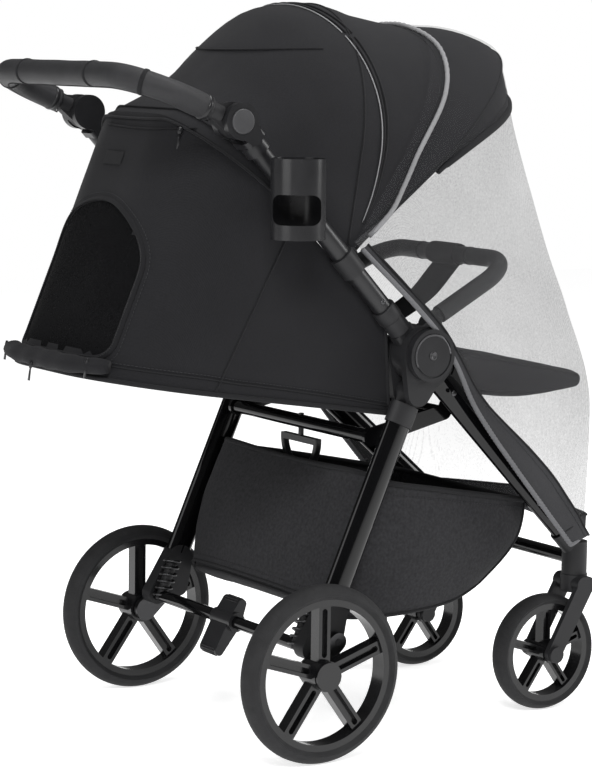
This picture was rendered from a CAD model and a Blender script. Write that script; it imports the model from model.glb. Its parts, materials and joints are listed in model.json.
import bpy
import json
import math
from mathutils import Matrix, Vector, noise


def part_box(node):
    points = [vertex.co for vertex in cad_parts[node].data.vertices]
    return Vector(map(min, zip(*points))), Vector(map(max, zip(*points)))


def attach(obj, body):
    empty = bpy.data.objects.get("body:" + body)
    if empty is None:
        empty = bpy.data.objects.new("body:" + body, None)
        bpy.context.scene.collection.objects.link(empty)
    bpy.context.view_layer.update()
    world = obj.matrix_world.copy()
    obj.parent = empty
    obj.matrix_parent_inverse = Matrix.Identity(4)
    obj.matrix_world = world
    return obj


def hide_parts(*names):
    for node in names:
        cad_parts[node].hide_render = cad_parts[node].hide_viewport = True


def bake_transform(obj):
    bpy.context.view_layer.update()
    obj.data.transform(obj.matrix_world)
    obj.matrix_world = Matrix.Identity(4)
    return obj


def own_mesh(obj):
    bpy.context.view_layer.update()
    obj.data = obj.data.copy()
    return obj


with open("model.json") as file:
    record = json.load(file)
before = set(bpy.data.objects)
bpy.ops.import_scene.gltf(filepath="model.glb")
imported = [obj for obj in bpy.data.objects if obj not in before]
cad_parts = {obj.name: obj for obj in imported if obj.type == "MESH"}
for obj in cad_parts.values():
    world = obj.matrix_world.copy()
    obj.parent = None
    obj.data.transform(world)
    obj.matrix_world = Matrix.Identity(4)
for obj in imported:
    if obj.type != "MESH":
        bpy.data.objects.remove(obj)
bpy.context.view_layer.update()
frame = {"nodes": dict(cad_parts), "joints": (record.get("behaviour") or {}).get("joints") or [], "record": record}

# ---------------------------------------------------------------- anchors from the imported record
joints = {j["name"]: j for j in frame["joints"]}
nodes = frame["nodes"]


def joint_pos(name):
    """Place of a joint's axis, in metres."""
    return Vector(joints[name]["pos_m"])


PIVOT = joint_pos("canopy_rear_fold")
HUB = joint_pos("frame_fold")
HANDLE_HUB = joint_pos("handle_tilt")
LEGREST_PIVOT = joint_pos("legrest_tilt")
AXLE_Y = joint_pos("rear_wheel_spin_right").y
REAR_R = joint_pos("rear_wheel_spin_right").z
FRONT_R = joint_pos("front_wheel_spin_right").z
FRONT_AXLE_Y = joint_pos("front_wheel_spin_right").y
CASTER = joint_pos("caster_swivel_right")
SIDES = (("right", 1), ("left", -1))


def at(x, y, z):
    """A point with y measured forward from the rear axle."""
    return Vector((x, AXLE_Y + y, z))


def along(angle):
    """Unit vector in the YZ plane, measured from +Y towards +Z."""
    a = math.radians(angle)
    return Vector((0, math.cos(a), math.sin(a)))


def smooth(t):
    """Eased step from 0 to 1."""
    t = min(max(t, 0.0), 1.0)
    return t * t * (3 - 2 * t)


def lerp(a, b, t):
    return a + (b - a) * t


def knots(x, pairs):
    """Smooth interpolation through (x, value) pairs in rising order of x."""
    if x <= pairs[0][0]:
        return pairs[0][1]
    for i in range(len(pairs) - 1):
        x0, v0 = pairs[i]
        x1, v1 = pairs[i + 1]
        if x <= x1:
            before = pairs[max(i - 1, 0)]
            after = pairs[min(i + 2, len(pairs) - 1)]
            t = (x - x0) / (x1 - x0)
            m0 = (v1 - before[1]) * ((x1 - x0) / (x1 - before[0]))
            m1 = (after[1] - v0) * ((x1 - x0) / (after[0] - x0))
            h = t * t * (3 - 2 * t)
            g0 = t * (1 - t) * (1 - t)
            g1 = t * t * (t - 1)
            return v0 * (1 - h) + v1 * h + m0 * g0 + m1 * g1
    return pairs[-1][1]


# ---------------------------------------------------------------- materials
class Shade:
    """A small node-graph helper round one Principled material."""

    def __init__(self, name, colour, rough, metallic=0.0, **inputs):
        self.mat = bpy.data.materials.new(name)
        self.mat.use_nodes = True
        self.tree = self.mat.node_tree
        self.tree.nodes.clear()
        self.out = self.node("ShaderNodeOutputMaterial")
        self.bsdf = self.node("ShaderNodeBsdfPrincipled")
        self.tree.links.new(self.bsdf.outputs[0], self.out.inputs[0])
        self.bsdf.inputs["Base Color"].default_value = (*colour, 1)
        self.bsdf.inputs["Roughness"].default_value = rough
        self.bsdf.inputs["Metallic"].default_value = metallic
        for key, value in inputs.items():
            self.bsdf.inputs[key.replace("_", " ")].default_value = value
        self.coords = self.node("ShaderNodeTexCoord").outputs["Object"]
        self.colour = colour

    def node(self, kind, **props):
        n = self.tree.nodes.new(kind)
        for key, value in props.items():
            setattr(n, key, value)
        return n

    def link(self, a, b):
        self.tree.links.new(a, b)

    def mapped(self, scale=(1, 1, 1), turn=(0, 0, 0)):
        m = self.node("ShaderNodeMapping")
        m.inputs["Scale"].default_value = scale
        m.inputs["Rotation"].default_value = turn
        self.link(self.coords, m.inputs["Vector"])
        return m.outputs[0]

    def noise(self, scale, detail=2.0, vector=None):
        n = self.node("ShaderNodeTexNoise")
        n.inputs["Scale"].default_value = scale
        n.inputs["Detail"].default_value = detail
        self.link(vector or self.coords, n.inputs["Vector"])
        return n.outputs["Fac"]

    def wave(self, scale, direction="X", vector=None, distortion=0.0):
        n = self.node("ShaderNodeTexWave", bands_direction=direction)
        n.inputs["Scale"].default_value = scale
        n.inputs["Distortion"].default_value = distortion
        self.link(vector or self.coords, n.inputs["Vector"])
        return n.outputs["Fac"]

    def math(self, kind, a, b=None):
        n = self.node("ShaderNodeMath", operation=kind)
        for i, v in enumerate((a, b)):
            if v is None:
                continue
            if isinstance(v, (int, float)):
                n.inputs[i].default_value = v
            else:
                self.link(v, n.inputs[i])
        return n.outputs[0]

    def spread(self, fac, low, high, socket):
        n = self.node("ShaderNodeMapRange")
        n.inputs["To Min"].default_value = low
        n.inputs["To Max"].default_value = high
        self.link(fac, n.inputs["Value"])
        self.link(n.outputs[0], self.bsdf.inputs[socket])

    def tint(self, fac, dark, light):
        """Base colour runs between two shades of the material's own colour."""
        n = self.node("ShaderNodeValToRGB")
        n.color_ramp.elements[0].position = 0.3
        n.color_ramp.elements[1].position = 0.7
        n.color_ramp.elements[0].color = (*[c * dark for c in self.colour], 1)
        n.color_ramp.elements[1].color = (*[c * light for c in self.colour], 1)
        self.link(fac, n.inputs[0])
        self.link(n.outputs[0], self.bsdf.inputs["Base Color"])

    def bump(self, height, strength, distance):
        n = self.node("ShaderNodeBump")
        n.inputs["Strength"].default_value = strength
        n.inputs["Distance"].default_value = distance
        self.link(height, n.inputs["Height"])
        self.link(n.outputs[0], self.bsdf.inputs["Normal"])


def fabric(name, colour, pitch=320.0, rough=0.86, sheen=0.035, dark=0.82, light=1.18, melange=0.0):
    """Woven cloth: crossed threads, slubs and a cloudy colour; melange makes the colour grainier."""
    s = Shade(name, colour, rough, Sheen_Weight=sheen, Sheen_Roughness=0.5, Specular_IOR_Level=0.08)
    warp = s.wave(pitch, "Z", s.mapped(turn=(0.12, 0.08, 0)))
    weft = s.wave(pitch, "X", s.mapped(turn=(0, 0, 0.78)))
    weave = s.math("MULTIPLY", warp, weft)
    slub = s.noise(620.0, 3.0)
    cloud = s.noise(9.0, 4.0)
    height = s.math("ADD", s.math("MULTIPLY", weave, 0.7), s.math("MULTIPLY", slub, 0.6))
    s.bump(height, 0.35, 0.0006)
    shade = s.math("ADD", s.math("MULTIPLY", cloud, 0.45 - melange * 0.3),
                   s.math("MULTIPLY", s.noise(430.0 - 200 * melange, 2.0), 0.55 + melange * 0.3))
    s.tint(shade, dark, light)
    s.spread(cloud, rough - 0.05, min(rough + 0.07, 1), "Roughness")
    return s.mat


def plastic(name, colour, rough, grain=1400.0, depth=0.00008, coat=0.0, shine=0.25):
    """Moulded plastic or painted tube with a fine grain and slight wear."""
    s = Shade(name, colour, rough, Coat_Weight=coat, Coat_Roughness=0.08, Specular_IOR_Level=shine)
    s.bump(s.noise(grain, 3.0), 0.4, depth)
    wear = s.noise(34.0, 5.0)
    s.spread(wear, rough * 0.85, min(rough * 1.2, 1), "Roughness")
    s.tint(wear, 0.88, 1.14)
    return s.mat


def leatherette(name, colour):
    """Imitation leather: small creased cells."""
    s = Shade(name, colour, 0.45, Sheen_Weight=0.02, Specular_IOR_Level=0.32)
    cells = s.node("ShaderNodeTexVoronoi", feature="DISTANCE_TO_EDGE")
    cells.inputs["Scale"].default_value = 620.0
    s.link(s.coords, cells.inputs["Vector"])
    crease = s.math("MINIMUM", s.math("MULTIPLY", cells.outputs["Distance"], 6.0), 1.0)
    s.bump(s.math("ADD", crease, s.math("MULTIPLY", s.noise(160.0, 3.0), 0.6)), 0.55, 0.0005)
    s.spread(s.noise(45.0, 4.0), 0.42, 0.6, "Roughness")
    s.tint(s.noise(60.0, 4.0), 0.85, 1.18)
    return s.mat


def metal(name, colour, rough):
    """Bare metal with faint brushing."""
    s = Shade(name, colour, rough, metallic=1.0)
    s.spread(s.noise(240.0, 3.0), rough * 0.8, rough * 1.3, "Roughness")
    s.bump(s.noise(900.0, 2.0), 0.15, 0.0001)
    return s.mat


def rubber(name, colour, axle_y, axle_z, radius, blocks):
    """Tyre rubber with a cross-cut tread round the axle and a smooth side wall."""
    s = Shade(name, colour, 0.78, Specular_IOR_Level=0.35)
    split = s.node("ShaderNodeSeparateXYZ")
    s.link(s.coords, split.inputs[0])
    y = s.math("SUBTRACT", split.outputs[1], axle_y)
    z = s.math("SUBTRACT", split.outputs[2], axle_z)
    turn = s.math("ARCTAN2", z, y)
    reach = s.math("SQRT", s.math("ADD", s.math("MULTIPLY", y, y), s.math("MULTIPLY", z, z)))
    skew = s.math("MULTIPLY", s.math("PINGPONG", split.outputs[0], 0.009), 2.2)
    cut = s.math("SINE", s.math("MULTIPLY", s.math("ADD", turn, skew), blocks))
    edge = s.math("GREATER_THAN", reach, radius * 0.945)
    tread = s.math("MULTIPLY", s.math("GREATER_THAN", cut, -0.35), edge)
    ring = s.math("SINE", s.math("MULTIPLY", reach, 1400.0))
    side = s.math("MULTIPLY", ring, s.math("SUBTRACT", 0.12, s.math("MULTIPLY", edge, 0.12)))
    s.bump(s.math("ADD", s.math("ADD", tread, side), s.math("MULTIPLY", s.noise(700.0, 3.0), 0.25)), 0.8, 0.0012)
    s.tint(s.noise(40.0, 5.0), 0.85, 1.25)
    s.spread(s.noise(90.0, 4.0), 0.68, 0.9, "Roughness")
    return s.mat


def mesh_cloth(name, colour, pitch, hole_alpha, thread_alpha, rough=0.8, shine=0.3):
    """Woven mesh: threads with small see-through holes."""
    s = Shade(name, colour, rough, Sheen_Weight=shine * 0.4, Specular_IOR_Level=shine)
    a = s.wave(pitch, "Z", s.mapped(turn=(0.3, 0.0, 0)))
    b = s.wave(pitch, "X", s.mapped(turn=(0, 0, 0.6)))
    c = s.wave(pitch, "Y", s.mapped(turn=(0, 0.2, 0.4)))
    thread = s.math("MAXIMUM", a, s.math("MAXIMUM", b, c))
    folds = s.noise(7.0, 3.0)
    n = s.node("ShaderNodeMapRange")
    n.inputs["From Min"].default_value = 0.72
    n.inputs["From Max"].default_value = 0.98
    n.inputs["To Min"].default_value = hole_alpha
    n.inputs["To Max"].default_value = thread_alpha
    s.link(thread, n.inputs["Value"])
    grain = s.math("ADD", s.math("MULTIPLY", s.noise(300.0, 1.0), 0.7), 0.65)
    alpha = s.math("MULTIPLY", n.outputs[0], s.math("ADD", s.math("MULTIPLY", folds, 0.7), 0.65))
    alpha = s.math("MULTIPLY", alpha, grain)
    s.link(alpha, s.bsdf.inputs["Alpha"])
    s.tint(folds, 0.94, 1.04)
    return s.mat


CLOTH = fabric("canopy_cloth", (0.0135, 0.0135, 0.0148))
SEAT_CLOTH = fabric("seat_cloth", (0.012, 0.012, 0.0132), pitch=300.0)
BASKET_CLOTH = fabric("basket_melange", (0.019, 0.019, 0.0205), pitch=210.0, dark=0.74, light=1.3, melange=1.0)
BORDER = fabric("border_tape", (0.03, 0.03, 0.032), pitch=420.0, dark=0.8, light=1.2)
WEB = fabric("webbing", (0.007, 0.007, 0.0078), pitch=160.0, rough=0.8)
THREAD = fabric("stitch_thread", (0.03, 0.03, 0.032), pitch=700.0)
SEAM = fabric("seam_ridge", (0.013, 0.013, 0.014), pitch=500.0)
PIPING = fabric("piping_reflective", (0.20, 0.20, 0.205), pitch=600.0, rough=0.6)
ELASTIC = fabric("elastic_piping", (0.11, 0.11, 0.115), pitch=500.0, rough=0.8)
ZIP_TAPE = fabric("zip_tape", (0.01, 0.01, 0.011), pitch=380.0)
LABEL = fabric("label", (0.012, 0.012, 0.013), pitch=800.0, rough=0.6)
NET = mesh_cloth("insect_mesh", (0.075, 0.075, 0.078), 240.0, 0.20, 0.33, shine=0.12)
HOOD_NET = mesh_cloth("hood_mesh", (0.045, 0.045, 0.048), 260.0, 0.12, 0.2, shine=0.05)
WINDOW = mesh_cloth("window_mesh", (0.005, 0.005, 0.0054), 150.0, 0.9, 1.0, shine=0.02)
GLOSS = plastic("gloss_tube", (0.002, 0.002, 0.0023), 0.08, grain=300.0, depth=0.00001, coat=0.1, shine=0.22)
TUBE_SATIN = plastic("satin_tube", (0.008, 0.008, 0.009), 0.36, grain=600.0, depth=0.00003, shine=0.35)
MATTE = plastic("matte_plastic", (0.012, 0.012, 0.013), 0.52)
SATIN = plastic("satin_plastic", (0.012, 0.012, 0.013), 0.3)
CUP = plastic("cup_plastic", (0.011, 0.011, 0.012), 0.24, shine=0.45)
BUTTON = plastic("button_grey", (0.04, 0.04, 0.042), 0.4)
RIM = plastic("rim_gloss", (0.005, 0.005, 0.0055), 0.2, grain=500.0, depth=0.00003, coat=0.15, shine=0.3)
DARK_STEEL = metal("black_steel", (0.06, 0.06, 0.062), 0.35)
LEATHER = leatherette("grip_leatherette", (0.013, 0.013, 0.0145))
BOARD = plastic("board", (0.02, 0.02, 0.021), 0.6)
REAR_TYRE = rubber("rear_rubber", (0.010, 0.010, 0.0108), AXLE_Y, REAR_R, REAR_R, 96)
FRONT_TYRE = rubber("front_rubber", (0.010, 0.010, 0.0108), FRONT_AXLE_Y, FRONT_R, FRONT_R, 72)

SLOT_MATERIAL = {"frame_gloss": GLOSS, "plastic_matte": MATTE, "plastic_satin": SATIN, "steel": DARK_STEEL,
                 "rim": RIM, "grip": LEATHER, "cloth": CLOTH, "melange": BASKET_CLOTH, "net": NET,
                 "matte_board": BOARD, "tyre": REAR_TYRE}
for part in frame["record"]["subparts"]:
    node = nodes[part["node"]]
    material = SLOT_MATERIAL[part["material_slot"]]
    if part["node"].startswith("front_tyre"):
        material = FRONT_TYRE
    if part["node"].startswith("handle_button"):
        material = BUTTON
    if part["node"] in ("cup_holder", "cup_bracket"):
        material = CUP
    if part["node"].startswith("upper_tube"):
        material = TUBE_SATIN
    node.data.materials.clear()
    node.data.materials.append(material)


# ---------------------------------------------------------------- mesh helpers
def make(name, verts, faces, material):
    """A new smooth-shaded mesh object with one material."""
    mesh = bpy.data.meshes.new(name)
    mesh.from_pydata([tuple(v) for v in verts], [], faces)
    mesh.update()
    obj = bpy.data.objects.new(name, mesh)
    bpy.context.scene.collection.objects.link(obj)
    mesh.materials.append(material)
    mesh.polygons.foreach_set("use_smooth", [True] * len(mesh.polygons))
    return obj


def grid(name, rows, material, wrap=False):
    """Surface through rows of points; wrap joins each row's end to its start."""
    n = len(rows[0])
    verts = [p for row in rows for p in row]
    faces = []
    last = n if wrap else n - 1
    for i in range(len(rows) - 1):
        for k in range(last):
            m = (k + 1) % n
            faces.append((i * n + k, i * n + m, (i + 1) * n + m, (i + 1) * n + k))
    return make(name, verts, faces, material)


def rebuild(mesh, verts, faces):
    """Gives a mesh new points and faces, all shaded smooth."""
    mesh.clear_geometry()
    mesh.from_pydata(verts, [], faces)
    mesh.polygons.foreach_set("use_smooth", [True] * len(mesh.polygons))
    mesh.update()


def cap_ends(obj, sides):
    """Closes the two open ends of a swept surface."""
    verts = [tuple(v.co) for v in obj.data.vertices]
    faces = [tuple(f.vertices) for f in obj.data.polygons]
    faces.append(tuple(range(sides - 1, -1, -1)))
    faces.append(tuple(range(len(verts) - sides, len(verts))))
    rebuild(obj.data, verts, faces)
    return obj


def frames(points, up=Vector((0, 0, 1)), closed=False):
    """Parallel-transported side and normal vectors along a polyline."""
    n = len(points)
    out = []
    side = None
    for i, p in enumerate(points):
        a = points[i - 1] if (i > 0 or closed) else points[i]
        b = points[(i + 1) % n] if (i < n - 1 or closed) else points[i]
        t = (b - a).normalized()
        if side is None:
            side = t.cross(up)
            if side.length < 0.1:
                side = t.cross(Vector((1, 0, 0)))
        side = (side - t * side.dot(t)).normalized()
        out.append((t, side, side.cross(t)))
    return out


def tube(name, points, radius, material, sides=8, closed=False, flat=1.0, up=Vector((0, 0, 1)), taper=None):
    """Swept round or oval rod; flat scales its thickness across the side vector."""
    points = [Vector(p) for p in points]
    rows = []
    for i, (p, (t, s, n)) in enumerate(zip(points, frames(points, up, closed))):
        r = radius * (taper(i / (len(points) - 1)) if taper else 1.0)
        turns = [2 * math.pi * k / sides for k in range(sides)]
        rows.append([p + s * (r * math.cos(a)) + n * (r * flat * math.sin(a)) for a in turns])
    if closed:
        rows.append(rows[0])
    obj = grid(name, rows, material, wrap=True)
    return obj if closed else cap_ends(obj, sides)


def lathe(name, profile, origin, axis, material, segments=48):
    """Profile of (distance along axis, radius) turned round the axis through origin."""
    axis = Vector(axis).normalized()
    side = axis.orthogonal().normalized()
    other = axis.cross(side)
    rows = []
    for d, r in profile:
        rows.append([Vector(origin) + axis * d + side * (r * math.cos(2 * math.pi * k / segments))
                     + other * (r * math.sin(2 * math.pi * k / segments)) for k in range(segments)])
    return grid(name, rows, material, wrap=True)


def ribbon(name, points, across, width, thick, material, bow=0.0):
    """Flat strap with rounded edges; across gives its width direction at each point."""
    points = [Vector(p) for p in points]
    rows = []
    n = len(points)
    for i, p in enumerate(points):
        t = (points[min(i + 1, n - 1)] - points[max(i - 1, 0)]).normalized()
        a = Vector(across(i / (n - 1))) if callable(across) else Vector(across)
        a = (a - t * a.dot(t)).normalized()
        m = a.cross(t)
        w = (width(i / (n - 1)) if callable(width) else width) / 2
        row = []
        for k in range(16):
            c = math.cos(2 * math.pi * k / 16)
            d = math.sin(2 * math.pi * k / 16)
            x = w * math.copysign(abs(c) ** 0.35, c)
            h = thick / 2 * math.copysign(abs(d) ** 0.7, d) + bow * (1 - (x / w) ** 2)
            row.append(p + a * x + m * h)
        rows.append(row)
    obj = grid(name, rows, material, wrap=True)
    return cap_ends(obj, 16)


def reaches(points):
    """Distance run along a polyline at each of its points."""
    out = [0.0]
    for a, b in zip(points, points[1:]):
        out.append(out[-1] + (b - a).length)
    return out


def path(points, count):
    """Points evenly spaced on a smooth curve through a few guide points."""
    points = [Vector(p) for p in points]
    reach = reaches(points)
    out = []
    for i in range(count):
        d = reach[-1] * i / (count - 1)
        out.append(Vector([knots(d, [(r, p[k]) for r, p in zip(reach, points)]) for k in range(3)]))
    return out


def resample(points, step):
    """The same polyline with its points an even step apart."""
    reach = reaches(points)
    count = max(2, int(reach[-1] / step))
    out = []
    j = 0
    for i in range(count + 1):
        d = reach[-1] * i / count
        while j < len(points) - 2 and reach[j + 1] < d:
            j += 1
        t = (d - reach[j]) / max(reach[j + 1] - reach[j], 1e-9)
        out.append(points[j].lerp(points[j + 1], t))
    return out


def joined(name, objs, material):
    """One mesh object from several, so that a row of stitches is one piece."""
    verts, faces = [], []
    for o in objs:
        base = len(verts)
        verts += [tuple(v.co) for v in o.data.vertices]
        faces += [tuple(base + i for i in f.vertices) for f in o.data.polygons]
        bpy.data.objects.remove(o)
    return make(name, verts, faces, material)


def stitches(name, points, lift=(0, 0, 0), length=0.0042, gap=0.0024, radius=0.00045, material=THREAD):
    """A row of separate raised stitches that follows the points."""
    pace = 0.0011
    line = resample([Vector(p) + Vector(lift) for p in points], pace)
    n = max(2, int(length / pace))
    skip = n + max(1, int(gap / pace))
    parts = []
    for i in range(0, len(line) - n, skip):
        parts.append(tube("stitch", [line[i], line[i + n // 2], line[i + n]], radius, material, sides=5))
    return joined(name, parts, material)


def screw(name, origin, axis, radius, material):
    """Countersunk screw head with a socket."""
    profile = [(0.0, radius), (0.0006, radius), (0.0012, radius * 0.86), (0.0012, radius * 0.45),
               (0.0003, radius * 0.4), (0.0003, 0.0001)]
    return lathe(name, profile, origin, axis, material, 24)


def noise_at(p, scale):
    """Smooth noise at a point, between -1 and 1."""
    return noise.noise(Vector(p) * scale)


def crumple(p, amount):
    """Small creases of cloth, as a distance off its smooth shape."""
    return amount * (noise_at(p, 9.0) + 0.5 * noise_at(p, 23.0))


def signed(x, s):
    """x on the side that s is on, and nothing in the middle."""
    return math.copysign(x, s) if s else 0.0


def mirrored(half):
    """A line from the right side to the middle, carried on to the left side."""
    return half + [Vector((-p.x, p.y, p.z)) for p in reversed(half[:-1])]


def dress(piece, body):
    """Material slot of a piece, and the body that it moves with."""
    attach(piece, body)


# ---------------------------------------------------------------- canopy
HALF = 0.198
RIDGE = [(28, 0.432), (31, 0.446), (35, 0.462), (39, 0.462), (43, 0.446), (49, 0.417), (53, 0.396),
         (59, 0.372), (71, 0.352), (81, 0.351), (93, 0.338), (103, 0.310), (112, 0.286), (119, 0.274),
         (126, 0.269), (138, 0.277)]
SHOULDER = [(25, 0.2), (34, 0.18), (58, 0.15), (81, 0.15), (112, 0.12), (138, 0.12)]
BASE_R = 0.014
FOOT = 0.25
CROWN = 1 - FOOT
REAR_ANGLE = 136.0
LEG_STEPS = 10
ARC_STEPS = 44
BOWS = (81.0, 58.0, 38.5)


def arch_section(angle, s, half, base, shoulder, height, square=0.0):
    """Point of an arch at an angle round the pivot: a straight foot below a quarter of an ellipse."""
    a = abs(s)
    if a > CROWN:
        x = half
        r = lerp(shoulder, base, (a - CROWN) / FOOT)
    else:
        b = math.pi / 2 * (1 - a / CROWN)
        x = half * math.cos(b)
        r = shoulder + (height - shoulder) * math.sin(b)
        r += square * math.sin(b) * math.sin(2 * b)
    return PIVOT + Vector((signed(x, s), 0, 0)) + along(angle) * r


def arch_point(angle, s, lift=0.0):
    """Point of the canopy cloth; s runs -1 (left foot) .. 0 (ridge) .. 1 (right foot)."""
    height = knots(angle, RIDGE)
    shoulder = knots(angle, SHOULDER)
    # square: the cloth's own fall between its ribs, a little squarer than an ellipse
    return arch_section(angle, s, HALF + lift, BASE_R, shoulder, height + lift, square=0.004)


def arch_s():
    """Even steps along an arch, from the right foot over the ridge to the left foot."""
    steps = [i / LEG_STEPS for i in range(LEG_STEPS)]
    right = [1 - FOOT * f for f in steps] + [CROWN * (1 - i / ARC_STEPS) for i in range(ARC_STEPS + 1)]
    return right + [-s for s in reversed(right[:-1])]


ARCH_S = arch_s()

CANOPY_HEART = PIVOT + Vector((0, 0, 0.05))

# seat shell: plan is straight sides and an elliptical head end, both leaning back with height
SHELL_HALF = 0.1985
SHELL_CORNER = 0.145
SEAM_U = 0.45
FLAT_SHARE = 0.22


def seam_y(z):
    """Where the shell's side seam stands at a height, forward of the rear axle."""
    return -0.141 + 0.54 * (z - 0.509)


def back_y(z):
    """Where the shell's head end stands at a height."""
    return -0.288 + 0.40 * (z - 0.544)


def floor_z(y):
    """Height of the shell's lower edge, which rises towards the head end."""
    return 0.472 + (0.128 - y) * 0.1515


def mouth_z(y):
    """Height of the shell's upper rim, which follows the upper tubes."""
    return min(0.618 + (0.118 - y) * 0.985, 0.884)


def plan_y(x, z, lift):
    """Head end in plan: a straight middle between two quarter ellipses."""
    over = max(abs(x) - (SHELL_HALF - SHELL_CORNER), 0.0) / (SHELL_CORNER + lift)
    bow = 0.006 * (x / SHELL_HALF) ** 2
    return seam_y(z) - (seam_y(z) - back_y(z) + lift - bow) * math.sqrt(max(1 - over * over, 0.0))


def shell_point(x, z, lift=0.0):
    """Point of the shell's head-end wall at a given x and height."""
    return at(x, plan_y(x, z, lift), z)


def canopy_rows(start, stop, count, lift=0.0, puff=0.0):
    """Arches of a canopy panel between two angles, slack between its bows."""
    rows = []
    for i in range(count + 1):
        f = i / count
        angle = lerp(start, stop, f)
        row = []
        for s in ARCH_S:
            p = arch_point(angle, s, lift)
            out = (p - CANOPY_HEART).normalized()
            p += out * (puff * math.sin(math.pi * f) * min(1.0, (p - PIVOT).length / 0.25) * (1 - 0.6 * abs(s)))
            p += out * crumple(p, 0.0016) * math.sin(math.pi * min(max(f, 0.0), 1.0))
            row.append(p)
        rows.append(row)
    return rows


def rear_edge_point(s, lift=0.0):
    """The canopy's rear edge lies over the shell's upper rim."""
    if abs(s) > CROWN:
        return arch_point(REAR_ANGLE, s, lift)
    b = math.pi / 2 * (1 - abs(s) / CROWN)
    x = (SHELL_HALF + 0.0005 + lift) * math.cos(b)
    z = 0.8
    for _ in range(25):
        y = plan_y(x, z, 0.001 + lift)
        z = lerp(z, mouth_z(y) + 0.002 - 0.010 * math.sin(b), 0.5)
    return at(signed(x, s), y, z)


def rear_rows(lift=0.0):
    """Arches of the rear panel, drawn down to the shell's rim at its rear edge."""
    rows = []
    count = 22
    for i in range(count + 1):
        f = i / count
        angle = lerp(REAR_ANGLE, BOWS[0], f)
        row = []
        for s in ARCH_S:
            p = arch_point(angle, s, lift)
            pull = (1 - smooth(min(f / 0.45, 1.0)))
            shift = rear_edge_point(s, lift) - arch_point(REAR_ANGLE, s, lift)
            p = p + shift * pull
            out = (p - CANOPY_HEART).normalized()
            p += out * crumple(p, 0.0022) * math.sin(math.pi * f)
            row.append(p)
        rows.append(row)
    return rows


def on_panel(obj):
    """Material slot of a piece, and the two bodies that its canopy panel stretches between."""
    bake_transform(obj)


rear_panel = grid("canopy_panel_rear", rear_rows(), CLOTH)
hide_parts("canopy_rear")
on_panel(rear_panel)
middle_panel = grid("canopy_panel_middle", canopy_rows(BOWS[0], BOWS[1], 10), CLOTH)
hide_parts("canopy_middle")
on_panel(middle_panel)
front_panel = grid("canopy_panel_front", canopy_rows(BOWS[1], BOWS[2], 12, puff=0.002), CLOTH)
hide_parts("canopy_front")
on_panel(front_panel)


# visor: the stiffened peak in front of the front bow, with a rolled binding
PEAK_ANGLE = 31.0


def visor_rows(lift=0.0):
    """Arches of the peak, which is deepest in the middle and runs out towards its feet."""
    rows = []
    for i in range(9):
        f = i / 8
        inset = 0.008 * f
        height = lerp(0.462, 0.439, f)
        shoulder = lerp(0.18, 0.215, f)
        base = lerp(0.15, 0.195, f)
        row = []
        for s in ARCH_S:
            angle = lerp(BOWS[2], PEAK_ANGLE, f * (1 - 0.72 * smooth((abs(s) - 0.3) / 0.55)))
            p = arch_section(angle, s, HALF - inset + lift, base, shoulder, height + lift)
            p.z += 0.004 * math.sin(math.pi * f)
            row.append(p)
        rows.append(row)
    return rows


visor = grid("visor_peak", visor_rows(), CLOTH)
dress(visor, "canopy_front_bow")
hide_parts("canopy_visor")
binding = tube("visor_binding", visor_rows()[-1], 0.0056, SEAM, sides=10)
dress(binding, "canopy_front_bow")
visor_stitch = stitches("visor_stitching", visor_rows(0.0006)[6])
dress(visor_stitch, "canopy_front_bow")

# seams and piping over the bows
for index, (angle, body) in enumerate(((BOWS[0], "canopy_rear_bow"), (BOWS[2], "canopy_front_bow"))):
    seam = tube("bow_seam_%d" % (index + 1), [arch_point(angle, s, 0.0004) for s in ARCH_S], 0.0016, SEAM, sides=6)
    dress(seam, body)
PIPING_ANGLE = [(0.0, 57.5), (0.1, 57.3), (0.3, 53.5), (0.5, 51.0), (0.7, 50.5), (0.8, 46.0), (0.88, 40.0),
                (1.0, 39.0)]
RIB_ANGLE = [(0.0, 87.0), (0.2, 84.0), (0.4, 79.0), (0.6, 72.0), (0.75, 66.5), (0.85, 62.0), (0.93, 59.5)]


def piping_line(lift, shift=0.0):
    """The light piping swings forward from the ridge down to the pivot."""
    return [arch_point(knots(abs(s), PIPING_ANGLE) + shift, s, lift) for s in ARCH_S if abs(s) < 0.955]


piping = tube("canopy_piping", resample(piping_line(0.0038), 0.004), 0.0034, PIPING, sides=10,
              taper=lambda t: 1 + 0.14 * math.sin(t * 520) * (1 if 0.3 < t < 0.7 else 0.3))
on_panel(piping)
piping_stitch = stitches("canopy_piping_stitching", piping_line(0.0012, 1.6))
on_panel(piping_stitch)


def rib_angle(s):
    """The upright rib stands in a near-vertical plane, so its angle round the pivot changes with height."""
    return knots(abs(s), RIB_ANGLE)


# two dark ridges and the light thread in front of them, in degrees from the rib
for offset in (-0.9, 0.9, 2.1):
    groups = {"rear": [], "middle": []}
    for side in (1, -1):
        line = [s for s in ARCH_S if 0 <= s * side <= 0.93]
        for panel, low, high in (("rear", BOWS[0], 180.0), ("middle", 0.0, BOWS[0])):
            points = [arch_point(rib_angle(s) + offset, s, 0.0012) for s in line if low <= rib_angle(s) < high]
            if len(points) > 1:
                groups[panel].append(points)
    for panel, lines in groups.items():
        for number, points in enumerate(lines):
            light = offset > 1
            rib = tube("canopy_rib_%s_%d_%d" % (panel, number, round(offset * 10 + 9)), points,
                       0.0009 if light else 0.0016, PIPING if light else SEAM, sides=6)
            on_panel(rib)

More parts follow.
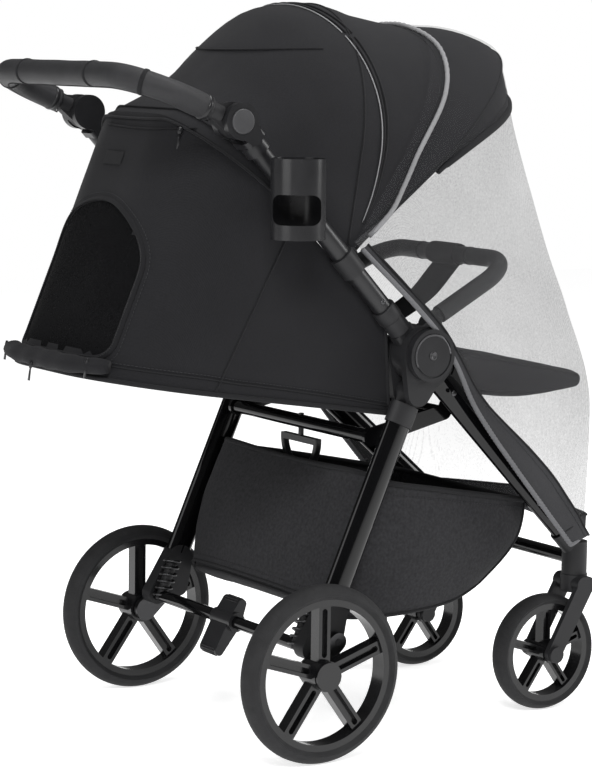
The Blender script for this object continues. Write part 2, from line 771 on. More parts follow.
# cross seam between the canopy's rear flap and its crown, nearly level
CROWN_SEAM_Z = 0.974
crown_line = []
for s in [-0.38 + 0.76 * i / 60 for i in range(61)]:
    low_angle, high_angle = 81.0, 130.0
    for _ in range(30):
        middle_angle = (low_angle + high_angle) / 2
        if arch_point(middle_angle, s).z > CROWN_SEAM_Z - 0.004 * math.cos(s * 4):
            low_angle = middle_angle
        else:
            high_angle = middle_angle
    crown_line.append(arch_point(low_angle, s, 0.0012))
crown_seam = tube("canopy_crown_seam", crown_line, 0.0015, SEAM, sides=6)
on_panel(crown_seam)
flap_line = [rear_rows(0.0012)[2][i] for i in range(len(ARCH_S)) if abs(ARCH_S[i]) < 0.8]
flap_zip = tube("flap_zip", flap_line, 0.0024, ZIP_TAPE, sides=6, flat=0.6)
on_panel(flap_zip)
edge_line = [rear_edge_point(s, 0.0012) for s in ARCH_S if abs(s) < 0.98]
dress(tube("flap_edge", edge_line, 0.0019, SEAM, sides=6), "upper_frame")

# ---------------------------------------------------------------- seat shell
TUBE_ANGLE = math.degrees(math.atan2(HANDLE_HUB.z - HUB.z, HANDLE_HUB.y - HUB.y))


def wall_column(u, v, lift=0.0):
    """Shell wall point: |u| runs from 1 at the front edge to SEAM_U at the side seam and 0 at the head end."""
    a = abs(u)
    z = 0.65
    x, y = 0.0, 0.0
    for _ in range(30):
        if a >= SEAM_U:
            f = (1 - a) / (1 - SEAM_U)
            front = 0.1455 - 0.0685 * (z - 0.472)
            y = lerp(front, seam_y(z), f)
            x = SHELL_HALF + lift
        else:
            flat = SHELL_HALF - SHELL_CORNER
            b = math.pi / 2 * max(a / SEAM_U - FLAT_SHARE, 0.0) / (1 - FLAT_SHARE)
            x = flat * min(a / (SEAM_U * FLAT_SHARE), 1.0) + (SHELL_CORNER + lift) * math.sin(b)
            y = plan_y(x, z, lift)
        z = lerp(z, lerp(floor_z(y), mouth_z(y), v), 0.6)
    p = at(math.copysign(x, u), y, z)
    dent = crumple(p, 0.0022) * math.sin(math.pi * v)
    p.x -= math.copysign(abs(dent) * (1 if a >= SEAM_U else 0.3), u)
    p.y += abs(dent) * (0.0 if a >= SEAM_U else 0.6)
    return p


WIN_HALF, WIN_LOW, WIN_SPRING, WIN_TOP = 0.121, 0.562, 0.668, 0.762
U_STEPS = [1 - (1 - SEAM_U) * i / 26 for i in range(26)] + [SEAM_U - SEAM_U * i / 34 for i in range(35)]
U_ALL = U_STEPS + [-u for u in reversed(U_STEPS[:-1])]
V_STEPS = [i / 40 for i in range(41)]


def window_outline(count=72, grow=0.0):
    """D-shaped outline of the mesh window as (x, z), clockwise from the lower right corner."""
    h, low, top = WIN_HALF + grow, WIN_LOW - grow, WIN_TOP + grow
    r = 0.022
    pts = []
    for i in range(9):
        a = -math.pi / 2 + math.pi / 2 * i / 8
        pts.append((h - r + r * math.cos(a), low + r + r * math.sin(a)))
    for i in range(1, 10):
        pts.append((h, lerp(low + r, WIN_SPRING, i / 10)))
    for i in range(37):
        a = math.pi * i / 36
        pts.append((h * math.cos(a), WIN_SPRING + (top - WIN_SPRING) * math.sin(a)))
    for i in range(9, 0, -1):
        pts.append((-h, lerp(low + r, WIN_SPRING, i / 10)))
    for i in range(9):
        a = math.pi + math.pi / 2 * i / 8
        pts.append((-h + r + r * math.cos(a), low + r + r * math.sin(a)))
    for i in range(1, 12):
        pts.append((lerp(-h + r, h - r, i / 12), low))
    return pts


OUTLINE = window_outline()


def inside_window(x, z):
    """Whether a point of the head-end wall lies in the window's opening."""
    if z < WIN_LOW or abs(x) > WIN_HALF:
        return False
    if z < WIN_SPRING:
        return True
    return (x / WIN_HALF) ** 2 + ((z - WIN_SPRING) / (WIN_TOP - WIN_SPRING)) ** 2 < 1


wall = grid("shell_wall", [[wall_column(u, v) for u in U_ALL] for v in V_STEPS], SEAT_CLOTH)
mesh = wall.data
width = len(U_ALL)
snapped = set()
for index, vert in enumerate(mesh.vertices):
    co = vert.co
    if abs(U_ALL[index % width]) < 0.4:
        near = min(OUTLINE, key=lambda q: (q[0] - co.x) ** 2 + (q[1] - co.z) ** 2)
        if math.hypot(near[0] - co.x, near[1] - co.z) < 0.0062:
            vert.co = shell_point(near[0], near[1])
            snapped.add(index)
keep_faces = []
for face in mesh.polygons:
    if abs(U_ALL[face.vertices[0] % width]) < 0.42:
        hits = [i in snapped or inside_window(mesh.vertices[i].co.x, mesh.vertices[i].co.z) for i in face.vertices]
        if all(hits) and face.center.y < AXLE_Y:
            continue
    keep_faces.append(tuple(face.vertices))
rebuild(mesh, [tuple(v.co) for v in mesh.vertices], keep_faces)
dress(wall, "upper_frame")
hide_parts("seat_shell")

ring_count = 7
center_z = (WIN_LOW + WIN_TOP) / 2
window_rows = []
for ring in range(ring_count):
    f = 1 - ring / (ring_count - 1) * 0.999
    window_rows.append([shell_point(x * f, center_z + (z - center_z) * f, -0.0008) for x, z in OUTLINE])
window = grid("window_panel", window_rows, WINDOW, wrap=True)
dress(window, "upper_frame")
zip_tape = tube("window_zip_tape", [shell_point(x, z, 0.0012) for x, z in window_outline(grow=0.004)], 0.0042,
                ZIP_TAPE, sides=8, closed=True, flat=0.4, up=Vector((0, 1, 0)))
dress(zip_tape, "upper_frame")
zip_teeth = stitches("window_zip_teeth", [shell_point(x, z, 0.0028) for x, z in window_outline(grow=0.003)],
                     length=0.0018, gap=0.0014, radius=0.0009, material=SATIN)
dress(zip_teeth, "upper_frame")
window_stitch = stitches("window_stitching", [shell_point(x, z, 0.0012) for x, z in window_outline(grow=0.012)])
dress(window_stitch, "upper_frame")

# rolled-down window cover under the opening
roll_points = [shell_point(x, 0.550, 0.011) for x in [0.136 - 0.272 * i / 30 for i in range(31)]]
roll = tube("window_cover_roll", roll_points, 0.0155, SEAT_CLOTH, sides=20, flat=0.8,
            taper=lambda t: 0.72 + 0.34 * math.sin(math.pi * t) ** 0.5 + 0.05 * math.sin(37 * t))
dress(roll, "upper_frame")


def zip_pull(name, p, down, body, size=1.0):
    """Slider and tongue of a zip."""
    p = Vector(p)
    down = Vector(down).normalized()
    parts = [tube("part", [p - down * 0.005, p, p + down * 0.005], 0.0032 * size, SATIN, sides=8, flat=0.7,
                  taper=lambda t: 0.75 + 0.3 * math.sin(math.pi * t)),
             tube("part", [p + down * 0.004, p + down * 0.010 * size, p + down * 0.022 * size], 0.0024 * size,
                  SATIN, sides=8, flat=0.45, taper=lambda t: 0.7 + 0.5 * t)]
    dress(joined(name, parts, SATIN), body)


for number, (x, z) in enumerate(((0.118, 0.556), (-0.118, 0.556), (0.0, 0.541))):
    place = shell_point(x, z, 0.0235)
    zip_pull("cover_zip_pull_%d" % (number + 1), place, (0, -0.15, -1), "upper_frame")

lower_rows = [wall_column(u, 0.0, 0.0008) for u in U_ALL]
lower_hem = tube("shell_hem", lower_rows, 0.0034, SEAM, sides=8)
dress(lower_hem, "upper_frame")
band_line = [wall_column(u, 0.055 if abs(u) < 0.5 else 0.055 + 0.06 * (abs(u) - 0.5), 0.001) for u in U_ALL]
band = tube("shell_band_seam", band_line, 0.0013, SEAM, sides=6)
band_stitch = stitches("shell_band_stitching", band_line, (0, 0, 0.0045))
side_seams = []
for side_name, side in SIDES:
    seam_points = [wall_column(side * SEAM_U, v, 0.0006) for v in V_STEPS]
    side_seams.append(tube("shell_side_seam_" + side_name, seam_points, 0.0013, SEAM, sides=6))
    edge_points = [wall_column(side * 1.0, v, 0.0006) for v in V_STEPS]
    side_seams.append(tube("shell_front_edge_" + side_name, edge_points, 0.0026, SEAM, sides=6))
for piece in side_seams + [band, band_stitch]:
    dress(piece, "upper_frame")

floor_rows = []
for k in range(25):
    f = k / 24
    row = []
    for u in U_ALL:
        edge = wall_column(u, 0.0)
        p = Vector((edge.x, edge.y, 0)).lerp(Vector((0, AXLE_Y - 0.06, 0)), f)
        rel = p.y - AXLE_Y
        p.z = floor_z(rel) - 0.006 * math.sin(math.pi * min(f * 1.2, 1)) + crumple(p, 0.002) * f
        row.append(p)
    floor_rows.append(row)
shell_floor = grid("shell_floor", floor_rows, SEAT_CLOTH)
dress(shell_floor, "upper_frame")

# strap under the head end
strap_mid = [at(0.06, -0.262, 0.548), at(0.062, -0.232, 0.527), at(0.062, -0.195, 0.513), at(0.06, -0.15, 0.507),
             at(0.058, -0.1, 0.501)]
dress(ribbon("head_end_strap", path(strap_mid, 20), (1, 0, 0), 0.024, 0.0018, WEB), "upper_frame")

# blank woven label on the head-end wall
label_rows = [[shell_point(0.012 - 0.05 * i / 6, 0.812 + 0.018 * k / 3, 0.0012) for i in range(7)]
              for k in range(4)]
label = grid("blank_label", label_rows, LABEL)
dress(label, "upper_frame")

# storage pocket zip near the top of the head end
pocket_line = [shell_point(lerp(-0.06, 0.128, i / 24), 0.866 - 0.003 * math.sin(math.pi * i / 24), 0.0012)
               for i in range(25)]
pocket_zip = tube("pocket_zip", pocket_line, 0.0022, ZIP_TAPE, sides=6, flat=0.6)
pocket_teeth = stitches("pocket_zip_teeth", pocket_line, (0.0004, -0.001, 0),
                        length=0.0022, gap=0.0011, radius=0.0006, material=SATIN)
zip_pull("pocket_zip_pull", shell_point(0.112, 0.862, 0.0035), (0, -0.1, -1), "upper_frame", 1.25)
for piece in (pocket_zip, pocket_teeth):
    dress(piece, "upper_frame")

# ---------------------------------------------------------------- insect net
NET_LEVELS = 44
NET_SIDE = path([at(0.206, 0.078, 0.712), at(0.239, 0.190, 0.592), at(0.240, 0.228, 0.540),
                 at(0.229, 0.280, 0.461), at(0.227, 0.398, 0.322), at(0.216, 0.462, 0.256)], NET_LEVELS)
NET_CORNER = path([at(0.180, 0.345, 0.826), at(0.190, 0.378, 0.700), at(0.193, 0.425, 0.610),
                   at(0.195, 0.480, 0.515), at(0.193, 0.500, 0.450), at(0.184, 0.508, 0.264)], NET_LEVELS)
NET_MIDDLE = path([at(0.0, 0.450, 0.878), at(0.0, 0.464, 0.730), at(0.0, 0.486, 0.630),
                   at(0.0, 0.516, 0.530), at(0.0, 0.524, 0.450), at(0.0, 0.520, 0.280)], NET_LEVELS)
SIDE_STEPS = 16
FRONT_STEPS = 20


def level_share(index):
    """How far down the net a level lies, 0 at the top and 1 at the hem."""
    return index / (NET_LEVELS - 1)


def net_level(index, lift=0.0):
    """One free-hanging level of the net from its right border round the front to its left border."""
    t = level_share(index)
    side, corner, middle = NET_SIDE[index], NET_CORNER[index], NET_MIDDLE[index]
    power = 2 / lerp(2.2, 5.0, smooth(t / 0.4))
    right = []
    for k in range(SIDE_STEPS):
        f = k / SIDE_STEPS
        p = side.lerp(corner, f)
        p.x += 0.010 * math.sin(math.pi * f) * (1 - 0.5 * t) + lift
        p.x += crumple(p, 0.0012) * math.sin(math.pi * f)
        right.append(p)
    for k in range(FRONT_STEPS + 1):
        a = math.pi / 2 * k / FRONT_STEPS
        x = corner.x * max(math.cos(a), 0.0) ** power
        y = corner.y + (middle.y - corner.y) * math.sin(a) ** power
        z = corner.z + (middle.z - corner.z) * (1 - x / corner.x)
        p = Vector((x + (lift if k < 10 else 0), y + lift, z))
        p.y += crumple(p, 0.0015) * math.sin(math.pi * t)
        right.append(p)
    return mirrored(right)


def brim_row():
    """The net's top edge: up the front bow's side and along the visor's edge."""
    brim = visor_rows(0.002)[-1]
    edge = [p for p, s in zip(brim, ARCH_S) if 0 <= s <= CROWN]
    edge = resample(edge, 0.004)
    right = [NET_SIDE[0].lerp(edge[0], k / SIDE_STEPS) for k in range(SIDE_STEPS)]
    right += [edge[round(k * (len(edge) - 1) / FRONT_STEPS)] for k in range(FRONT_STEPS + 1)]
    return mirrored(right)


BRIM = brim_row()
NET_PULL = [b - p for b, p in zip(BRIM, net_level(0))]


def net_row(index, lift=0.0):
    """One level of the net, drawn up to the brim near the top."""
    hold = 1 - smooth(level_share(index) / 0.42)
    return [p + pull * hold for p, pull in zip(net_level(index, lift), NET_PULL)]


net_sheet = grid("net_drop", [net_row(i) for i in range(NET_LEVELS)], NET)
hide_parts("insect_net")
net_pieces = []
for side_name, edge_column, inner_column in (("right", 0, 3), ("left", -1, -4)):
    rows = []
    for i in range(1, NET_LEVELS):
        row = net_row(i)
        edge = row[edge_column]
        way = (row[inner_column] - edge).normalized()
        width = lerp(0.012, 0.050, smooth((level_share(i) - 0.38) / 0.45))
        puff = math.copysign(0.0028, edge.x)
        rows.append([edge + way * (width * f) + Vector((puff + crumple(edge + way * f, 0.002), 0, 0))
                     for f in (0, 0.2, 0.4, 0.6, 0.8, 1)])
    border = grid("net_border_" + side_name, rows, BORDER)
    rim_line = tube("net_border_piping_" + side_name, resample([r[0] for r in rows], 0.003), 0.0036, ELASTIC,
                    sides=8, taper=lambda t: 1 + 0.16 * math.sin(t * 640) * smooth(t * 3 - 0.6))
    inner_line = tube("net_inner_piping_" + side_name, [r[-1] for r in rows], 0.0018, SEAM, sides=8)
    edge_stitch = stitches("net_border_stitching_" + side_name,
                           [r[4] + Vector((math.copysign(0.0006, r[4].x), 0, 0)) for r in rows])
    net_pieces += [border, rim_line, inner_line, edge_stitch]
hem_rows = [net_row(i, 0.002) for i in range(NET_LEVELS - 3, NET_LEVELS)]
net_hem = grid("net_hem", hem_rows, BORDER)
hem_top = tube("net_hem_piping", hem_rows[0], 0.0018, SEAM, sides=8)
hem_low = tube("net_hem_elastic", hem_rows[-1], 0.0032, ELASTIC, sides=8,
               taper=lambda t: 1 + 0.18 * math.sin(900 * t))
net_pieces += [net_hem, hem_top, hem_low]
for piece in [net_sheet] + net_pieces:
    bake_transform(piece)

# the net's upper part lies over the front of the canopy and the visor
hood = grid("net_hood", canopy_rows(BOWS[1] - 1.5, BOWS[2], 12, lift=0.0034, puff=0.002), HOOD_NET)
on_panel(hood)
hood_peak = grid("net_hood_peak", visor_rows(0.0014), HOOD_NET)
dress(hood_peak, "canopy_front_bow")

# ---------------------------------------------------------------- basket
BASKET_TOP = [(0.0, 0.438, 0.311), (0.09, 0.437, 0.312), (0.140, 0.432, 0.314), (0.160, 0.412, 0.319),
              (0.178, 0.330, 0.335), (0.194, 0.220, 0.356), (0.196, 0.152, 0.369), (0.191, 0.120, 0.381),
              (0.168, 0.110, 0.385), (0.08, 0.108, 0.383), (0.0, 0.108, 0.382)]
BASKET_LOW = [(0.0, 0.376, 0.203), (0.08, 0.374, 0.203), (0.128, 0.366, 0.201), (0.146, 0.344, 0.195),
              (0.160, 0.290, 0.180), (0.180, 0.200, 0.176), (0.184, 0.110, 0.178), (0.181, 0.066, 0.186),
              (0.160, 0.050, 0.198), (0.08, 0.045, 0.204), (0.0, 0.044, 0.205)]


def ring(guides, count):
    """Closed outline of the basket from guide points on its right half."""
    half = path([at(*p) for p in guides], count)
    return half + [Vector((-p.x, p.y, p.z)) for p in reversed(half[1:-1])]


TOP_RING = ring(BASKET_TOP, 60)
LOW_RING = ring(BASKET_LOW, 60)
BASKET_MIDDLE = at(0, 0.215, 0.279)


def basket_point(k, v, lift=0.0):
    """Basket wall: v runs 0 at the brim to 1 at the bottom edge, bulging as loaded cloth does."""
    a, b = TOP_RING[k % len(TOP_RING)], LOW_RING[k % len(LOW_RING)]
    p = a.lerp(b, v)
    out = Vector((p.x / 0.19, (p.y - BASKET_MIDDLE.y) / 0.22, 0))
    out = out / max(out.length, 0.01)
    swell = math.sin(math.pi * v) * (0.012 + 0.010 * max(out.y, 0) ** 2)
    p += out * (swell + lift + crumple(p, 0.003) * math.sin(math.pi * min(v * 1.1, 1)))
    p.z -= 0.004 * math.sin(math.pi * min(abs(p.x) / 0.19, 1)) * (1 - v)
    return p


basket_rows = [[basket_point(k, i / 16) for k in range(len(TOP_RING))] for i in range(17)]
for i in range(1, 9):
    f = i / 9
    row = []
    for k in range(len(TOP_RING)):
        edge = basket_point(k, 1.0)
        p = edge.lerp(Vector((0, edge.y * (1 - f) + BASKET_MIDDLE.y * f, edge.z)), f)
        p.z = lerp(edge.z, 0.179, smooth(f * 1.5)) - 0.004 * math.sin(math.pi * f) + crumple(p, 0.003) * f
        row.append(p)
    basket_rows.append(row)
basket = grid("basket_cloth", basket_rows, BASKET_CLOTH, wrap=True)
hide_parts("basket")
brim = tube("basket_brim_piping", TOP_RING, 0.0042, SEAM, sides=10, closed=True)
low_seam = tube("basket_bottom_seam", [basket_point(k, 1.0, 0.0004) for k in range(len(TOP_RING))], 0.0022, SEAM,
                sides=6, closed=True)
brim_line = [basket_point(k, 0.075, 0.0007) for k in range(len(TOP_RING) + 1)]
brim_stitch = stitches("basket_brim_stitching", brim_line)
basket_pieces = [brim, low_seam, brim_stitch]
BASKET_CORNERS = (("rear", (0.191, 0.125, 0.38), 1), ("front", (0.155, 0.424, 0.316), -1))
for side_name, sign in SIDES:
    for end_name, (x, y, z), inward in BASKET_CORNERS:
        corner = at(sign * x, y, z)
        nearest = min(range(len(TOP_RING)), key=lambda k: (TOP_RING[k] - corner).length)
        line = [basket_point(nearest, i / 24, 0.0008) for i in range(25)]
        basket_pieces.append(tube("basket_seam_%s_%s" % (end_name, side_name), line, 0.0019, SEAM, sides=6))
        for number, shift in enumerate((0.006, 0.012)):
            shifted = [p + Vector((0, inward * shift, 0)) for p in line]
            basket_pieces.append(stitches("basket_stitch_%s_%s_%d" % (end_name, side_name, number), shifted,
                                          (sign * 0.0006, 0, 0)))
# rear flap: a second layer folded over the basket's back, with a bottom hem
flap_rows = []
rear_columns = [k for k in range(len(TOP_RING)) if TOP_RING[k].y < AXLE_Y + 0.132]
for i in range(18):
    flap_rows.append([basket_point(k, 0.95 * i / 17, 0.0035 + 0.002 * i / 17) for k in rear_columns])
flap = grid("basket_rear_flap", flap_rows, BASKET_CLOTH)
flap_hem = tube("basket_flap_hem", flap_rows[-1], 0.0024, SEAM, sides=8)
flap_stitch = stitches("basket_flap_stitching", flap_rows[-2], (0, -0.0007, 0))
flap_edges = []
for side_name, column, inside, out_x in (("right", 0, 1, 0.0008), ("left", -1, -2, -0.0008)):
    edge = tube("basket_flap_edge_" + side_name, [row[column] for row in flap_rows], 0.0020, SEAM, sides=6)
    for number, f in enumerate((0.35, 0.9)):
        line = [row[column].lerp(row[inside], f) for row in flap_rows]
        flap_edges.append(stitches("basket_flap_stitch_%s_%d" % (side_name, number), line, (out_x, -0.0006, 0)))
    flap_edges.append(edge)
basket_pieces += flap_edges + [flap, flap_hem, flap_stitch]
for piece in [basket] + basket_pieces:
    dress(piece, "front_frame")
for piece in [basket] + basket_pieces:
    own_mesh(piece)


# ---------------------------------------------------------------- cushions
def cushion(name, centre, half, tilt, body, crown=0.35, soft=0.55, square=0.28):
    """Stuffed pad: a rounded block with crowned faces, soft corners, tufted creases and a piped seam."""
    way, normal = along(tilt), along(tilt + 90)
    a, b, c = half
    rows, seam = [], []
    for i in range(29):
        lat = (math.pi / 2 - 0.03) * (i / 14 - 1)
        row = []
        for k in range(72):
            lon = 2 * math.pi * k / 72
            x = math.copysign(abs(math.cos(lon)) ** square, math.cos(lon)) * abs(math.cos(lat)) ** soft
            y = math.copysign(abs(math.sin(lon)) ** square, math.sin(lon)) * abs(math.cos(lat)) ** soft
            z = math.copysign(abs(math.sin(lat)) ** soft, math.sin(lat))
            z *= 1 + crown * (1 - x * x) * (1 - y * y) - 0.12
            p = Vector((a * x, 0, 0)) + way * (b * y) + normal * (c * z) + Vector(centre)
            p += normal * (crumple(p, 0.0025) * (1 - abs(x) ** 4))
            row.append(p)
        rows.append(row)
    pad = cap_ends(grid(name, rows, SEAT_CLOTH, wrap=True), 72)
    dress(pad, body)
    dress(tube(name + "_piping", rows[14], 0.0024, SEAM, sides=8, closed=True), body)
    return pad


def quilting(name, pad_centre, half, tilt, body, lines, lift):
    """Quilting seams across a pad's upper face."""
    way, normal = along(tilt), along(tilt + 90)
    parts = []
    for f in lines:
        points = [Vector(pad_centre) + Vector((half[0] * 0.9 * (i / 10 - 1), 0, 0)) + way * (half[1] * f)
                  + normal * (half[2] * lift * (1 - 0.25 * (i / 10 - 1) ** 2)) for i in range(21)]
        parts.append(tube("part", points, 0.0016, SEAM, sides=6))
    dress(joined(name, parts, SEAM), body)


seat_low, seat_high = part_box("seat_pad")
seat_span = seat_high - seat_low
seat_slant = math.atan2(seat_span.z * 0.45, seat_span.y)
seat_tilt = -math.degrees(seat_slant)
seat_thick = 0.013
seat_run = (seat_span.y - 2 * seat_thick * math.sin(seat_slant)) / math.cos(seat_slant) / 2
seat_middle = (seat_low + seat_high) / 2 - along(seat_tilt) * 0.008
seat_half = (seat_span.x / 2 + 0.002, seat_run - 0.010, seat_thick)
seat = cushion("seat_cushion", seat_middle, seat_half, seat_tilt, "front_frame")
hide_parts("seat_pad")
quilting("seat_quilting", seat_middle, seat_half, seat_tilt, "front_frame", (-0.4, 0.2), 1.16)

leg_low, leg_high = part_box("legrest")
legrest_tilt = -8.5
LEGREST_PROFILE = [(0.005, 0.010), (0.010, 0.0225), (0.060, 0.0225), (0.120, 0.0195), (0.180, 0.0160),
                   (0.224, 0.0135), (0.230, 0.0090), (0.2305, -0.0040), (0.226, -0.0095), (0.170, -0.0275),
                   (0.105, -0.0395), (0.050, -0.0405), (0.016, -0.0370), (0.005, -0.0200)]
legrest_half = (leg_high.x - leg_low.x) / 2 - 0.001
wedge = resample(path([Vector((0, u, w)) for u, w in LEGREST_PROFILE + [LEGREST_PROFILE[0]]], 160), 0.0045)[:-1]
wedge_core = Vector((0, 0.115, -0.004))
leg_rows = []
for i in range(41):
    q = -1 + 2 * i / 40
    q = math.copysign(1 - (1 - abs(q)) ** 1.6, q)
    swell = max(1 - abs(q) ** 26, 0.0) ** 0.4
    row = []
    for p in wedge:
        inner = wedge_core + (p - wedge_core) * max(swell, 0.02)
        inner = Vector((0, lerp(inner.y, p.y, 0.93), inner.z))
        point = LEGREST_PIVOT + along(legrest_tilt) * inner.y + along(legrest_tilt + 90) * inner.z
        point.x = legrest_half * q
        point += along(legrest_tilt + 90) * crumple(point, 0.002)
        row.append(point)
    leg_rows.append(row)
legrest_pad = cap_ends(grid("legrest_cushion", leg_rows, SEAT_CLOTH, wrap=True), len(wedge))
dress(legrest_pad, "legrest")
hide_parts("legrest")
leg_middle = LEGREST_PIVOT + along(legrest_tilt) * 0.118 + along(legrest_tilt + 90) * -0.002
leg_half = (legrest_half, 0.108, 0.0195)
for side_name, edge_row in (("right", leg_rows[-3]), ("left", leg_rows[2])):
    dress(tube("legrest_piping_" + side_name, edge_row, 0.0019, SEAM, sides=6, closed=True), "legrest")
quilting("legrest_quilting", leg_middle, leg_half, legrest_tilt, "legrest", (-0.35, 0.3), 1.03)

board_low, board_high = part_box("backrest_board")
board_tilt = math.degrees(math.atan2(board_low.z - board_high.z, board_high.y - board_low.y)) * 0.85
mattress_middle = (board_low + board_high) / 2 + along(board_tilt + 90) * 0.016
mattress_half = (0.174, (board_high.y - board_low.y) / 2 - 0.008, 0.011)
cushion("backrest_mattress", mattress_middle, mattress_half, board_tilt, "backrest")
quilting("backrest_quilting", mattress_middle, mattress_half, board_tilt, "backrest",
         (-0.55, -0.15, 0.25, 0.65), 1.18)

# ---------------------------------------------------------------- bumper and crotch strap
bumper_r = 0.013
strap_low, strap_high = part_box("crotch_strap")
loop = Vector((0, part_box("bumper_bar")[1].y - bumper_r, strap_high.z - bumper_r - 0.003))
around = []
for i in range(25):
    a = math.radians(-90 + 360 * i / 24)
    around.append(loop + Vector((0, math.cos(a), math.sin(a))) * (bumper_r + 0.0022))
strap_foot = Vector((0, strap_low.y + 0.006, strap_low.z + 0.006))
strap_line = around + path([around[-1] + Vector((0, -0.004, -0.004)),
                            loop.lerp(strap_foot, 0.45) + Vector((0, 0.010, -0.014)), strap_foot], 18)[1:]
crotch = ribbon("crotch_strap_cloth", strap_line, (1, 0, 0), 0.068, 0.0030, WEB)
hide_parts("crotch_strap")
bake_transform(crotch)

# ---------------------------------------------------------------- handle wrap
def handle_line(reach_start, count=64):
    """Centre line of the U-shaped handle, starting a little way from the right hub."""
    half, depth, corner = 0.2115, 0.162, 0.078
    way = along(158.4)
    flat = [(half, reach_start)]
    for i in range(6):
        flat.append((half, lerp(reach_start, depth - corner, (i + 1) / 6)))
    for i in range(1, 13):
        a = math.pi / 2 * i / 12
        flat.append((half - corner * (1 - math.cos(a)), depth - corner + corner * math.sin(a)))
    right = [HANDLE_HUB + Vector((x, 0, 0)) + way * d for x, d in flat]
    return right + [Vector((-p.x, p.y, p.z)) for p in reversed(right)]


grip_line = resample(handle_line(0.046), 0.003)
grip = tube("handle_wrap", grip_line, 0.0168, LEATHER, sides=28,
            taper=lambda t: 1.0 + 0.012 * math.sin(t * 40) + 0.01 * noise_at((t * 9, 0, 0), 1.0))
dress(grip, "handle")
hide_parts("handle_grip")
wrap_pieces = [grip]
RING_PROFILE = [(-0.0035, 0.0160), (-0.0028, 0.0176), (-0.0010, 0.0181), (0.0010, 0.0181), (0.0028, 0.0176),
                (0.0035, 0.0160)]
ring_at = [0.012, 0.165, 0.335, 0.665, 0.835, 0.988]
for number, f in enumerate(ring_at):
    index = int(f * (len(grip_line) - 1))
    p = grip_line[index]
    t = (grip_line[min(index + 1, len(grip_line) - 1)] - grip_line[max(index - 1, 0)]).normalized()
    inner_ring = 0 < number < len(ring_at) - 1
    wrap_pieces.append(lathe("handle_ring_%d" % number, RING_PROFILE, p, t, SEAM if inner_ring else SATIN, 32))
under = [p - Vector((0, 0, 0.0169)) for p in grip_line]
wrap_pieces.append(tube("handle_wrap_seam", under, 0.0013, SEAM, sides=6))
wrap_pieces.append(stitches("handle_wrap_stitching", under, (0, 0.0035, 0.0004)))
for piece in wrap_pieces[1:]:
    dress(piece, "handle")

# seams and rings on the bumper's padded cover
BAND_PROFILE = [(-0.002, 0.0126), (-0.001, 0.0138), (0.001, 0.0138), (0.002, 0.0126)]
for number, x in enumerate((-0.06, 0.06)):
    centre = Vector((x, loop.y, loop.z))
    dress(lathe("bumper_seam_%d" % number, BAND_PROFILE, centre, (1, 0, 0), SEAM, 28), "bumper")

# ---------------------------------------------------------------- hub and frame details
FRAME_X = 0.212
ARC_R = 0.029
SLEEVE_PROFILE = [(0.070, 0.0142), (0.070, 0.0170), (0.0716, 0.0178), (0.0900, 0.0176), (0.0918, 0.0168),
                  (0.0920, 0.0142)]
TUBE_RIVET = [(0.0, 0.0040), (0.0010, 0.0037), (0.0018, 0.0024), (0.0021, 0.0001)]
LEG_RIVET = [(0.0, 0.0042), (0.0010, 0.0039), (0.0019, 0.0025), (0.0022, 0.0001)]
tube_way = along(TUBE_ANGLE)
leg_way = (CASTER - HUB).normalized()
leg_way = Vector((0, leg_way.y, leg_way.z))


def rivets(name, sign, way, distances, stand, profile, body):
    """Rivet heads on the outer face of a tube that leaves the main hub."""
    for number, reach in enumerate(distances):
        centre = Vector((sign * FRAME_X, HUB.y, HUB.z)) + way * reach + Vector((sign * stand, 0, 0))
        dress(lathe("%s_%d" % (name, number), profile, centre, (sign, 0, 0), DARK_STEEL, 24), body)


for side_name, sign in SIDES:
    face_x = sign * (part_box("hub_covers")[1].x + 0.0002)
    arc_points = [Vector((face_x, HUB.y + ARC_R * math.cos(a), HUB.z + ARC_R * math.sin(a)))
                  for a in [math.radians(60 + 150 * i / 20) for i in range(21)]]
    dress(tube("hub_arc_" + side_name, arc_points, 0.0014, BUTTON, sides=8), "front_frame")
    centre = Vector((face_x, HUB.y, HUB.z))
    dress(screw("hub_screw_" + side_name, centre, (sign, 0, 0), 0.0062, DARK_STEEL), "front_frame")
    sleeve = lathe("tube_sleeve_" + side_name, SLEEVE_PROFILE, Vector((sign * FRAME_X, HUB.y, HUB.z)), tube_way,
                   MATTE, 40)
    dress(sleeve, "upper_frame")
    rivets("tube_rivet_" + side_name, sign, tube_way, (0.104, 0.262), 0.0138, TUBE_RIVET, "upper_frame")
    rivets("leg_rivet_" + side_name, sign, leg_way, (0.085, 0.33), 0.0108, LEG_RIVET, "front_frame")

# brake pedal treads
shaft_y, shaft_z = 0.006, 0.152
tread_parts = []
for lobe_y, lobe_z, start in ((-0.026, -0.040, 150), (0.012, 0.025, 55)):
    for step in range(5):
        a = math.radians(start + 26 * step)
        centre = at(0, shaft_y + lobe_y + 0.0072 * math.cos(a), shaft_z + lobe_z + 0.0072 * math.sin(a))
        bar = [centre + Vector((x, 0, 0)) for x in (-0.017, -0.006, 0.006, 0.017)]
        tread_parts.append(tube("part", bar, 0.0011, MATTE, sides=6))
treads = joined("brake_pedal_treads", tread_parts, MATTE)
dress(treads, "rear_frame")

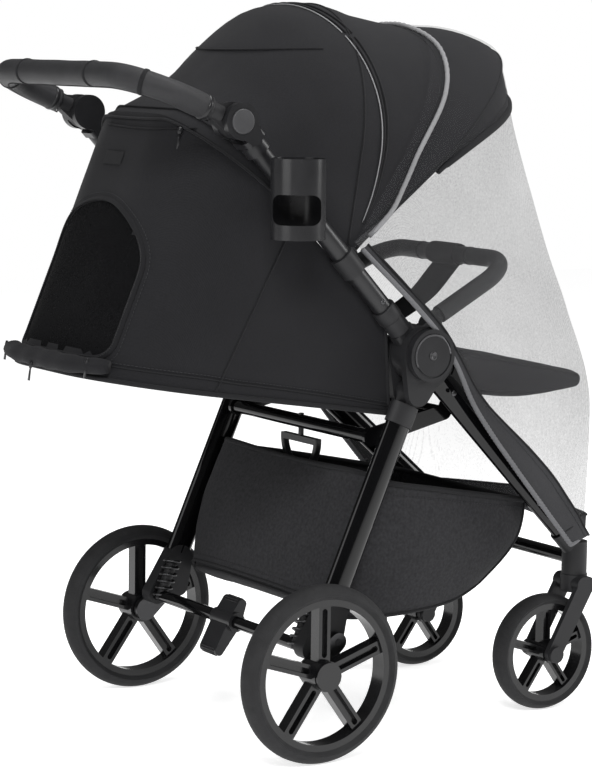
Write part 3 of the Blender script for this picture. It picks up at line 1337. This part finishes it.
# coil springs beside the rear feet
COIL_R = 0.0115
COIL_TURNS = 6
GUIDE_PROFILE = [(0.0, 0.0001), (0.0, 0.0070), (0.004, 0.0078), (0.056, 0.0078), (0.060, 0.0070), (0.060, 0.0001)]
for side_name, sign in SIDES:
    low_end, high_end = at(sign * 0.188, 0.002, 0.146), at(sign * 0.188, 0.024, 0.206)
    axis = (high_end - low_end).normalized()
    side = axis.orthogonal().normalized()
    other = axis.cross(side)
    coil_points = []
    for step in range(121):
        f = step / 120
        a = 2 * math.pi * COIL_TURNS * f
        centre = low_end.lerp(high_end, f)
        coil_points.append(centre + side * (COIL_R * math.cos(a)) + other * (COIL_R * math.sin(a)))
    coil = tube("rear_spring_" + side_name, coil_points, 0.0019, DARK_STEEL, sides=8)
    dress(coil, "rear_frame")
    guide = lathe("rear_spring_guide_" + side_name, GUIDE_PROFILE, low_end, axis, MATTE, 28)
    dress(guide, "rear_frame")


# ---------------------------------------------------------------- floor, light and camera
floor_rows = [[Vector((-6 + 12 * i / 8, -6 + 12 * k / 8, 0)) for i in range(9)] for k in range(9)]
FLOOR = Shade("studio_floor", (0.9, 0.9, 0.9), 0.9, Specular_IOR_Level=0.05, Emission_Color=(1, 1, 1, 1),
              Emission_Strength=0.66)
FLOOR.spread(FLOOR.noise(3.0, 2.0), 0.88, 0.93, "Roughness")
floor = grid("studio_floor", floor_rows, FLOOR.mat)

scene = bpy.context.scene
scene.view_settings.view_transform = "Standard"
world = bpy.data.worlds.new("studio")
scene.world = world
world.use_nodes = True
sky = world.node_tree
backdrop = sky.nodes["Background"]
backdrop.inputs[0].default_value = (1, 1, 1, 1)
rays = sky.nodes.new("ShaderNodeLightPath")
direct = sky.nodes.new("ShaderNodeMapRange")
direct.inputs["To Min"].default_value = 0.34
direct.inputs["To Max"].default_value = 1.0
mirrored = sky.nodes.new("ShaderNodeMapRange")
mirrored.inputs["To Min"].default_value = 1.0
mirrored.inputs["To Max"].default_value = 0.3
strength = sky.nodes.new("ShaderNodeMath")
strength.operation = "MULTIPLY"
sky.links.new(rays.outputs["Is Camera Ray"], direct.inputs["Value"])
sky.links.new(rays.outputs["Is Glossy Ray"], mirrored.inputs["Value"])
sky.links.new(direct.outputs["Result"], strength.inputs[0])
sky.links.new(mirrored.outputs["Result"], strength.inputs[1])
sky.links.new(strength.outputs[0], backdrop.inputs[1])


def softbox(name, place, aim, size, power):
    """Rectangular studio light turned towards a point."""
    data = bpy.data.lights.new(name, "AREA")
    data.shape = "RECTANGLE"
    data.size, data.size_y = size
    data.energy = power
    light = bpy.data.objects.new(name, data)
    bpy.context.scene.collection.objects.link(light)
    light.location = place
    light.rotation_euler = (Vector(aim) - Vector(place)).to_track_quat("-Z", "Y").to_euler()


middle = Vector((0, 0, 0.5))
softbox("key", (2.4, -1.6, 2.6), middle, (1.1, 1.1), 75)
softbox("fill", (0.6, -3.2, 1.4), middle, (2.0, 1.6), 28)
softbox("top", (0.2, 0.4, 3.2), middle, (1.6, 1.6), 62)
softbox("rim", (1.6, 2.8, 1.6), middle, (0.9, 1.6), 46)

# camera: a long lens behind the pushchair and to its right
yaw, pitch, roll_angle = math.radians(57.10), math.radians(7.32), math.radians(0.79)
way = Vector((-math.sin(yaw) * math.cos(pitch), math.cos(yaw) * math.cos(pitch), -math.sin(pitch)))
right_axis = Vector((math.cos(yaw), math.sin(yaw), 0))
up_axis = right_axis.cross(way)
right_roll = right_axis * math.cos(roll_angle) + up_axis * math.sin(roll_angle)
up_roll = -right_axis * math.sin(roll_angle) + up_axis * math.cos(roll_angle)
cam_data = bpy.data.cameras.new("camera")
cam_data.lens = 125.05
cam_data.sensor_width = 36
cam_data.sensor_fit = "AUTO"
camera = bpy.data.objects.new("camera", cam_data)
scene.collection.objects.link(camera)
basis = Matrix((right_roll, up_roll, -way)).transposed()
camera.matrix_world = Matrix.Translation((3.2337, AXLE_Y - 1.9729, 0.9838)) @ basis.to_4x4()
scene.camera = camera
